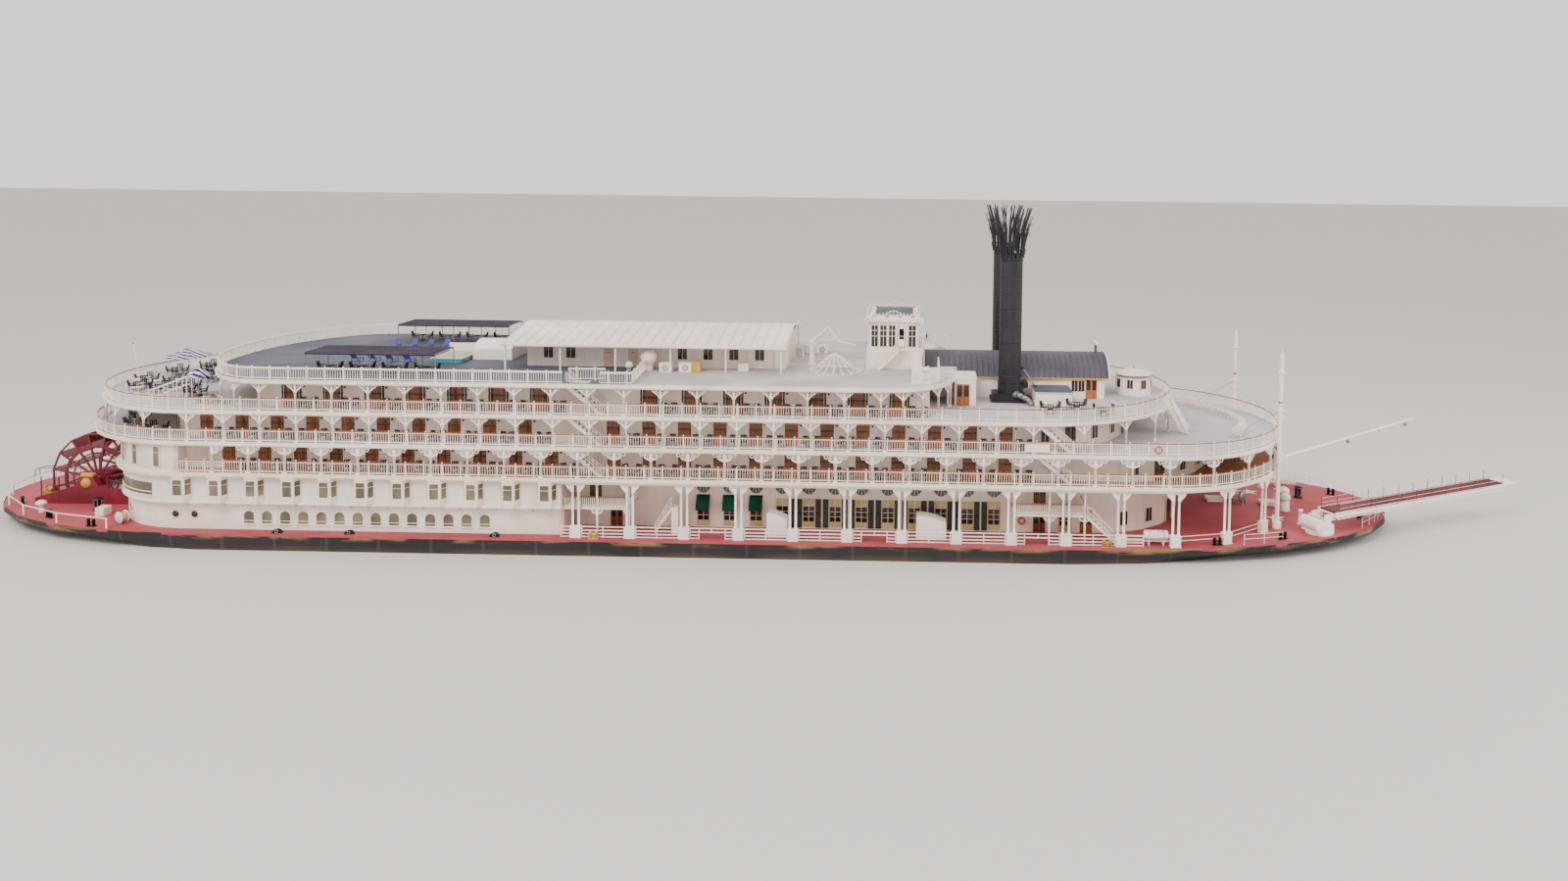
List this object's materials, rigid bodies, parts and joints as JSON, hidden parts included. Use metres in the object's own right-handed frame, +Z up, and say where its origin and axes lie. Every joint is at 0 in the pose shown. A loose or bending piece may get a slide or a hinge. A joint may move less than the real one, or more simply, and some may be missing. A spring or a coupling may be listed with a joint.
{
  "type": "sternwheel passenger steamboat, 1 to 10 scale model",
  "caption": "Sternwheel river passenger boat with tiered veranda decks, pilothouse, folding twin stacks with crowns, boom, landing stage and stern paddlewheel.",
  "frame": {"origin": "on the flat hull bottom, amidships on the centreline", "axes": "+X towards the bow, +Y to port, +Z up; the waterline is at z = 0.26 m"},
  "size_m": [14.068, 2.7, 3.154],
  "materials": {
    "hull_paint": "matte black enamel",
    "deck_red": "matte red deck paint",
    "wheel_red": "satin crimson enamel",
    "deck_grey": "matte light grey deck paint",
    "roof_grey": "matte dark grey",
    "stack_black": "satin black",
    "steel": "brushed",
    "bronze": "polished bronze",
    "white_paint": "satin white enamel"
  },
  "bodies": {
    "boat": {"hull": "hull_paint", "main_deck": "deck_red", "wheel_arm_starboard": "wheel_red", "wheel_arm_port": "wheel_red", "aft_house_lower": "white_paint", "mezzanine_deck": "white_paint", "aft_house_upper": "white_paint", "midships_house": "white_paint", "deck_3": "deck_grey", "deck_4": "deck_grey", "deck_5": "deck_grey", "roof_deck": "roof_grey", "cabins_3": "white_paint", "cabins_4": "white_paint", "cabins_5": "white_paint", "colonnade_starboard": "white_paint", "colonnade_port": "white_paint", "stern_rail": "white_paint", "stack_base_starboard": "stack_black", "stack_base_port": "stack_black", "fore_cabin": "white_paint", "fore_cabin_roof": "roof_grey", "round_house": "white_paint", "texas_house": "white_paint", "pilothouse": "white_paint", "pilothouse_roof": "white_paint", "sun_house": "white_paint", "sun_house_roof": "white_paint", "canopy_starboard": "roof_grey", "canopy_port": "roof_grey", "barrel_locker": "white_paint", "lattice_dome": "white_paint", "radome": "white_paint", "crane_post": "white_paint", "mast_port": "white_paint", "mast_starboard": "white_paint"},
    "paddlewheel": {"paddlewheel": "wheel_red"},
    "drive_starboard": {"drive_starboard": "steel"},
    "drive_port": {"drive_port": "steel"},
    "propeller_starboard": {"propeller_starboard": "bronze"},
    "propeller_port": {"propeller_port": "bronze"},
    "stack_starboard": {"stack_starboard": "stack_black"},
    "stack_port": {"stack_port": "stack_black"},
    "stack_brace_starboard": {"stack_brace_starboard": "steel"},
    "stack_brace_port": {"stack_brace_port": "steel"},
    "radar_bar": {"radar_bar": "white_paint"},
    "pilothouse_door_starboard": {"pilothouse_door_starboard": "white_paint"},
    "pilothouse_door_port": {"pilothouse_door_port": "white_paint"},
    "crane_jib": {"crane_jib": "white_paint"},
    "boom_gooseneck": {"boom_gooseneck": "white_paint"},
    "boom": {"boom": "white_paint"},
    "stage_turntable": {"stage_turntable": "steel"},
    "stage_span": {"stage_span": "white_paint"},
    "stage_flap": {"stage_flap": "white_paint"},
    "capstan_bow": {"capstan_bow": "stack_black"},
    "capstan_stern": {"capstan_stern": "stack_black"}
  },
  "joints": [
    {"name": "paddlewheel_spin", "type": "hinge", "parent": "boat", "child": "paddlewheel", "pos_m": [-5.39, 0, 0.59], "axis": [0, 1, 0], "continuous": true},
    {"name": "drive_starboard_steer", "type": "hinge", "parent": "boat", "child": "drive_starboard", "pos_m": [-5.35, -0.8, 0.2247], "axis": [0, 0, 1], "continuous": true},
    {"name": "propeller_starboard_spin", "type": "hinge", "parent": "drive_starboard", "child": "propeller_starboard", "pos_m": [-5.4453, -0.8, 0.098], "axis": [1, 0, 0], "continuous": true},
    {"name": "stack_starboard_fold", "type": "hinge", "parent": "boat", "child": "stack_starboard", "pos_m": [3.01, -0.435, 1.59], "axis": [0, 1, 0], "range_deg": [0, 85]},
    {"name": "stack_brace_starboard_swing", "type": "hinge", "parent": "boat", "child": "stack_brace_starboard", "pos_m": [3.1, -0.435, 1.566], "axis": [0, 1, 0], "range_deg": [0, 123]},
    {"name": "pilothouse_door_starboard_swing", "type": "hinge", "parent": "boat", "child": "pilothouse_door_starboard", "pos_m": [1.868, -0.36, 1.886], "axis": [0, 0, -1], "range_deg": [0, 100]},
    {"name": "drive_port_steer", "type": "hinge", "parent": "boat", "child": "drive_port", "pos_m": [-5.35, 0.8, 0.2247], "axis": [0, 0, 1], "continuous": true},
    {"name": "propeller_port_spin", "type": "hinge", "parent": "drive_port", "child": "propeller_port", "pos_m": [-5.4453, 0.8, 0.098], "axis": [1, 0, 0], "continuous": true},
    {"name": "stack_port_fold", "type": "hinge", "parent": "boat", "child": "stack_port", "pos_m": [3.01, 0.435, 1.59], "axis": [0, 1, 0], "range_deg": [0, 85]},
    {"name": "stack_brace_port_swing", "type": "hinge", "parent": "boat", "child": "stack_brace_port", "pos_m": [3.1, 0.435, 1.566], "axis": [0, 1, 0], "range_deg": [0, 123]},
    {"name": "pilothouse_door_port_swing", "type": "hinge", "parent": "boat", "child": "pilothouse_door_port", "pos_m": [1.868, 0.36, 1.886], "axis": [0, 0, 1], "range_deg": [0, 100]},
    {"name": "radar_bar_spin", "type": "hinge", "parent": "boat", "child": "radar_bar", "pos_m": [3.7, 0, 1.8823], "axis": [0, 0, 1], "continuous": true},
    {"name": "crane_jib_slew", "type": "hinge", "parent": "boat", "child": "crane_jib", "pos_m": [1.08, -0.18, 1.8826], "axis": [0, 0, 1], "range_deg": [-100, 100]},
    {"name": "boom_slew", "type": "hinge", "parent": "boat", "child": "boom_gooseneck", "pos_m": [5.195, -0.717, 1.02], "axis": [0, 0, 1], "range_deg": [-110, 12]},
    {"name": "boom_luff", "type": "hinge", "parent": "boom_gooseneck", "child": "boom", "pos_m": [5.24213, -0.69502, 1.02], "axis": [0.4226, -0.9063, 0], "range_deg": [-8, 35]},
    {"name": "stage_slew", "type": "hinge", "parent": "boat", "child": "stage_turntable", "pos_m": [5.53, -0.82, 0.4003], "axis": [0, 0, 1], "range_deg": [-125, 10]},
    {"name": "stage_lift", "type": "hinge", "parent": "stage_turntable", "child": "stage_span", "pos_m": [5.53, -0.82, 0.5303], "axis": [0.4321, -0.9018, 0], "range_deg": [-6, 8]},
    {"name": "stage_flap_fold", "type": "hinge", "parent": "stage_span", "child": "stage_flap", "pos_m": [7.5057, 0.1266, 0.6122], "axis": [0.4321, -0.9018, 0], "range_deg": [-30, 90]},
    {"name": "capstan_bow_spin", "type": "hinge", "parent": "boat", "child": "capstan_bow", "pos_m": [5.7, 0.25, 0.4003], "axis": [0, 0, 1], "continuous": true},
    {"name": "capstan_stern_spin", "type": "hinge", "parent": "boat", "child": "capstan_stern", "pos_m": [-5.17, -0.755, 0.4003], "axis": [0, 0, 1], "continuous": true}
  ],
  "couplings": [
    {"joint": "stack_brace_starboard_swing", "follows": "stack_starboard_fold", "ratio": 1.4435},
    {"joint": "stack_brace_port_swing", "follows": "stack_port_fold", "ratio": 1.4435}
  ]
}
